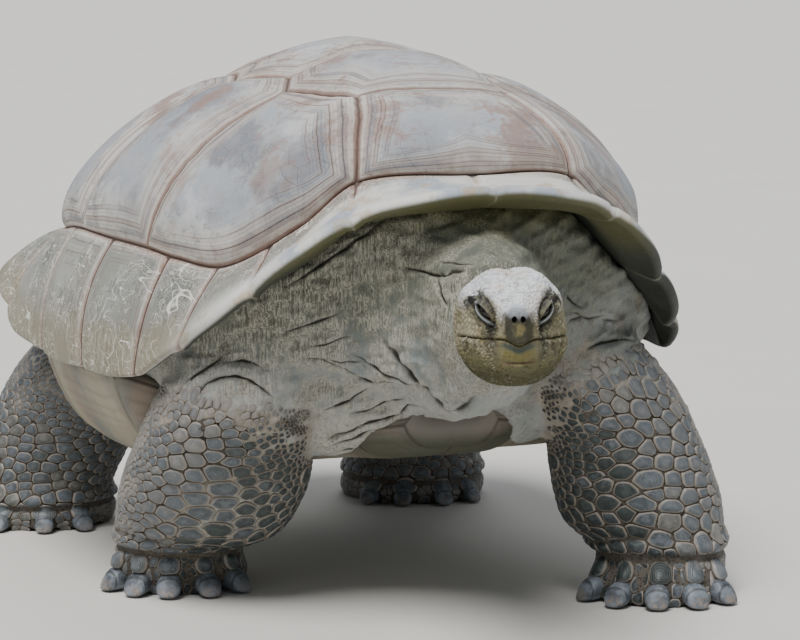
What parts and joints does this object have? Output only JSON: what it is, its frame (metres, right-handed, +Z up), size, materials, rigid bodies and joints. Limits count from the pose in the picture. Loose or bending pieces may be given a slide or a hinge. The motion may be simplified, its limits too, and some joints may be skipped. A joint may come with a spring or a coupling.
{
  "type": "giant tortoise",
  "caption": "Life-size model of a giant tortoise in a slow walk: high domed shell with raised plates, plated column legs, long-necked head held low under the shell's front edge.",
  "frame": {"origin": "middle of the outer box's floor side, so the soles stand on z = 0", "axes": "+Z up, the animal faces -Y, its left side is +X"},
  "size_m": [0.899, 1.3714, 0.7539],
  "materials": {
    "shell": "weathered horn plates, grey-brown with pinkish growth rings and fine scratches",
    "skin": "dry wrinkled hide, grey-green to tan",
    "leg_scutes": "hide under raised slate-grey horn scales with tan seams",
    "claw": "worn dark horn",
    "eye": "wet dark eye"
  },
  "bodies": {
    "root": {"carapace": "shell", "eye_left": "eye", "eye_right": "eye", "fore_claw_left_1": "claw", "fore_claw_left_2": "claw", "fore_claw_left_3": "claw", "fore_claw_left_4": "claw", "fore_claw_left_5": "claw", "fore_claw_right_1": "claw", "fore_claw_right_2": "claw", "fore_claw_right_3": "claw", "fore_claw_right_4": "claw", "fore_claw_right_5": "claw", "foreleg_left": "leg_scutes", "foreleg_right": "leg_scutes", "head": "skin", "hind_claw_left_1": "claw", "hind_claw_left_2": "claw", "hind_claw_left_3": "claw", "hind_claw_left_4": "claw", "hind_claw_right_1": "claw", "hind_claw_right_2": "claw", "hind_claw_right_3": "claw", "hind_claw_right_4": "claw", "hindleg_left": "leg_scutes", "hindleg_right": "leg_scutes", "neck": "skin", "plastron": "shell", "tail": "skin", "torso_front": "skin", "torso_rear": "skin"}
  },
  "joints": []
}
